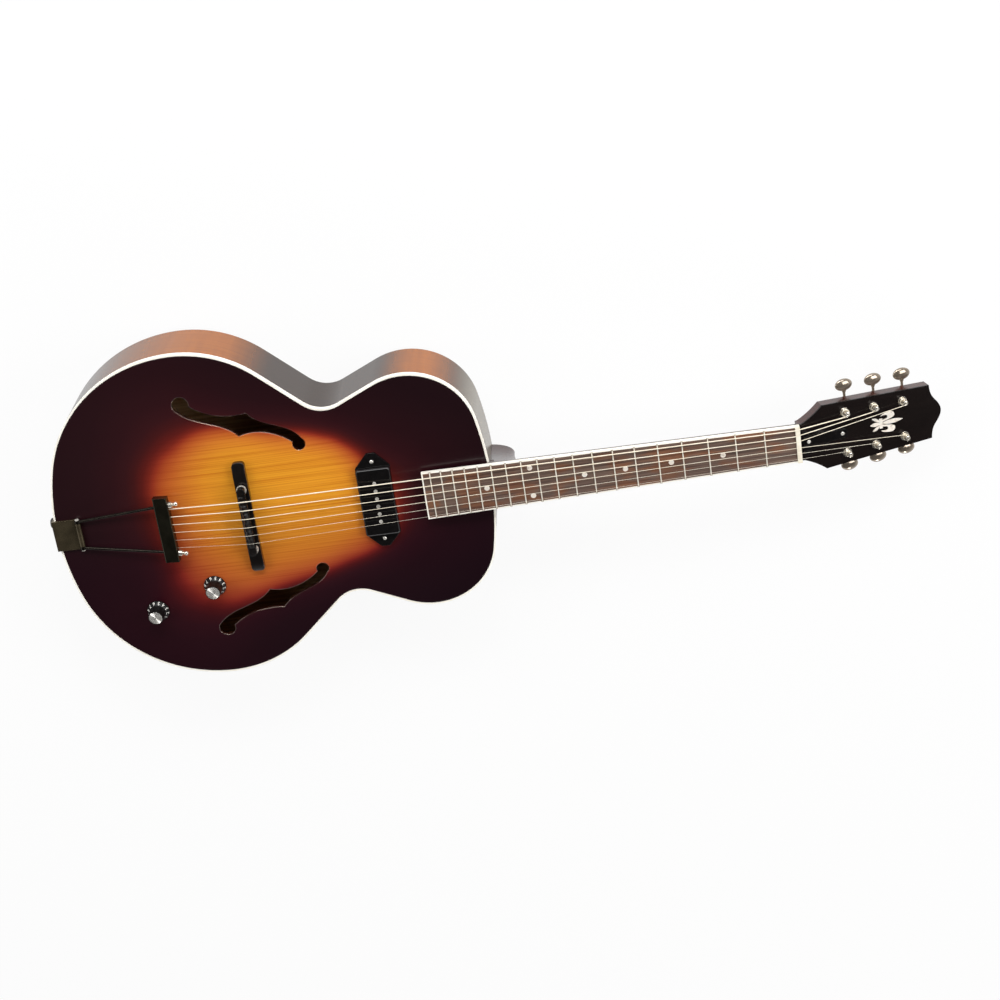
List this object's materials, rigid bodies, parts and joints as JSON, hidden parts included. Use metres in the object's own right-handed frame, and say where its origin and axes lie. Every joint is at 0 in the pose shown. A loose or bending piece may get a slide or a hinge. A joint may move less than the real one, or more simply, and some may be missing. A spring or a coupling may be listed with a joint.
{
  "type": "archtop guitar",
  "caption": "Hollow-body archtop electric guitar with f-holes, hinged tailpiece, height-adjustable bridge, dog-ear pickup, knobs and geared tuners.",
  "frame": {"origin": "centre of the overall box in plan, at the lowest point of the arched back", "axes": "+X from the tail towards the headstock, +Y towards the bass side, +Z out of the face"},
  "size_m": [1.051, 0.4064, 0.1269],
  "materials": {
    "spruce": "sunburst gloss lacquer",
    "maple": "gloss lacquer",
    "inner_wood": "bare",
    "cream_binding": "polished",
    "mahogany": "gloss lacquer",
    "black_veneer": "gloss",
    "pearl": "polished",
    "rod_steel": "plated",
    "black_plastic": "gloss",
    "rosewood": "oiled",
    "fret_nickel": "polished",
    "bone": "polished",
    "string_steel": "bright",
    "nickel": "polished",
    "magnet": "bare",
    "plate_brass": "bare",
    "pot_metal": "bare",
    "cable": "matte"
  },
  "bodies": {
    "guitar": {"top_plate": "spruce", "back_plate": "maple", "rim_bass_side": "maple", "rim_treble_side": "maple", "back_binding": "maple", "linings": "inner_wood", "neck_block": "inner_wood", "tail_block": "inner_wood", "tone_bars": "inner_wood", "top_binding": "cream_binding", "fingerboard_binding": "cream_binding", "neck": "mahogany", "headstock_veneer": "black_veneer", "headstock_inlay": "pearl", "fret_markers": "pearl", "truss_rod": "rod_steel", "bridge_posts": "rod_steel", "small_screws": "rod_steel", "pickup_pole_screws": "rod_steel", "tailpiece_hinge_pin": "rod_steel", "truss_rod_cover": "black_plastic", "pickup_cover": "black_plastic", "pickup_coil": "black_plastic", "fingerboard": "rosewood", "bridge_base": "rosewood", "frets": "fret_nickel", "nut": "bone", "plain_strings": "string_steel", "wound_strings": "string_steel", "tailpiece_bracket": "nickel", "tailpiece_rods": "nickel", "tailpiece_bar": "nickel", "strap_button": "nickel", "output_jack": "nickel", "tuner_plates": "nickel", "tuner_bushings": "nickel", "pickup_magnets": "magnet", "pickup_baseplate": "plate_brass", "potentiometers": "pot_metal", "wiring": "cable"},
    "bridge_saddle": {"bridge_saddle": "rosewood"},
    "thumbwheel_bass": {"thumbwheel_bass": "nickel"},
    "thumbwheel_treble": {"thumbwheel_treble": "nickel"},
    "volume_knob": {"volume_knob": "black_plastic", "volume_knob_insert": "nickel"},
    "tone_knob": {"tone_knob": "black_plastic", "tone_knob_insert": "nickel"},
    "tuner_button_1": {"tuner_button_1": "nickel"},
    "tuner_post_1": {"tuner_post_1": "nickel"},
    "tuner_button_2": {"tuner_button_2": "nickel"},
    "tuner_post_2": {"tuner_post_2": "nickel"},
    "tuner_button_3": {"tuner_button_3": "nickel"},
    "tuner_post_3": {"tuner_post_3": "nickel"},
    "tuner_button_4": {"tuner_button_4": "nickel"},
    "tuner_post_4": {"tuner_post_4": "nickel"},
    "tuner_button_5": {"tuner_button_5": "nickel"},
    "tuner_post_5": {"tuner_post_5": "nickel"},
    "tuner_button_6": {"tuner_button_6": "nickel"},
    "tuner_post_6": {"tuner_post_6": "nickel"}
  },
  "joints": [
    {"name": "saddle_height", "type": "slide", "parent": "guitar", "child": "bridge_saddle", "axis": [0, 0, 1], "range_m": [-0.0016, 0.0024], "deforming": ["plain_strings", "wound_strings"]},
    {"name": "thumbwheel_bass_turn", "type": "hinge", "parent": "bridge_saddle", "child": "thumbwheel_bass", "pos_m": [-0.2818, 0.03775, 0.115], "axis": [0, 0, 1], "range_deg": [-730, 1090]},
    {"name": "thumbwheel_treble_turn", "type": "hinge", "parent": "bridge_saddle", "child": "thumbwheel_treble", "pos_m": [-0.2818, -0.03775, 0.115], "axis": [0, 0, 1], "range_deg": [-730, 1090]},
    {"name": "volume_knob_turn", "type": "hinge", "parent": "guitar", "child": "volume_knob", "pos_m": [-0.33807, -0.084, 0.10258], "axis": [-0.0151, -0.0533, 0.9985], "range_deg": [-150, 150]},
    {"name": "tone_knob_turn", "type": "hinge", "parent": "guitar", "child": "tone_knob", "pos_m": [-0.41157, -0.1093, 0.09887], "axis": [-0.0467, -0.0505, 0.9976], "range_deg": [-150, 150]},
    {"name": "tuner_button_6_turn", "type": "hinge", "parent": "guitar", "child": "tuner_button_6", "pos_m": [0.41505, 0.0252, 0.05271], "axis": [0, 1, 0], "continuous": true},
    {"name": "tuner_post_6_turn", "type": "hinge", "parent": "guitar", "child": "tuner_post_6", "pos_m": [0.41072, 0.0252, 0.07206], "axis": [0.2756, 0, 0.9613], "continuous": true},
    {"name": "tuner_button_5_turn", "type": "hinge", "parent": "guitar", "child": "tuner_button_5", "pos_m": [0.44947, 0.02355, 0.04285], "axis": [0, 1, 0], "continuous": true},
    {"name": "tuner_post_5_turn", "type": "hinge", "parent": "guitar", "child": "tuner_post_5", "pos_m": [0.44513, 0.02355, 0.06219], "axis": [0.2756, 0, 0.9613], "continuous": true},
    {"name": "tuner_button_4_turn", "type": "hinge", "parent": "guitar", "child": "tuner_button_4", "pos_m": [0.48388, 0.0219, 0.03298], "axis": [0, 1, 0], "continuous": true},
    {"name": "tuner_post_4_turn", "type": "hinge", "parent": "guitar", "child": "tuner_post_4", "pos_m": [0.47954, 0.0219, 0.05232], "axis": [0.2756, 0, 0.9613], "continuous": true},
    {"name": "tuner_button_3_turn", "type": "hinge", "parent": "guitar", "child": "tuner_button_3", "pos_m": [0.48388, -0.0219, 0.03298], "axis": [0, -1, 0], "continuous": true},
    {"name": "tuner_post_3_turn", "type": "hinge", "parent": "guitar", "child": "tuner_post_3", "pos_m": [0.47954, -0.0219, 0.05232], "axis": [0.2756, 0, 0.9613], "continuous": true},
    {"name": "tuner_button_2_turn", "type": "hinge", "parent": "guitar", "child": "tuner_button_2", "pos_m": [0.44947, -0.02355, 0.04285], "axis": [0, -1, 0], "continuous": true},
    {"name": "tuner_post_2_turn", "type": "hinge", "parent": "guitar", "child": "tuner_post_2", "pos_m": [0.44513, -0.02355, 0.06219], "axis": [0.2756, 0, 0.9613], "continuous": true},
    {"name": "tuner_button_1_turn", "type": "hinge", "parent": "guitar", "child": "tuner_button_1", "pos_m": [0.41505, -0.0252, 0.05271], "axis": [0, -1, 0], "continuous": true},
    {"name": "tuner_post_1_turn", "type": "hinge", "parent": "guitar", "child": "tuner_post_1", "pos_m": [0.41072, -0.0252, 0.07206], "axis": [0.2756, 0, 0.9613], "continuous": true}
  ],
  "couplings": [
    {"joint": "thumbwheel_bass_turn", "follows": "saddle_height", "rad_per_m": 7854},
    {"joint": "thumbwheel_treble_turn", "follows": "saddle_height", "rad_per_m": 7854},
    {"joint": "tuner_post_6_turn", "follows": "tuner_button_6_turn", "ratio": -0.0625},
    {"joint": "tuner_post_5_turn", "follows": "tuner_button_5_turn", "ratio": -0.0625},
    {"joint": "tuner_post_4_turn", "follows": "tuner_button_4_turn", "ratio": -0.0625},
    {"joint": "tuner_post_3_turn", "follows": "tuner_button_3_turn", "ratio": 0.0625},
    {"joint": "tuner_post_2_turn", "follows": "tuner_button_2_turn", "ratio": 0.0625},
    {"joint": "tuner_post_1_turn", "follows": "tuner_button_1_turn", "ratio": 0.0625}
  ]
}
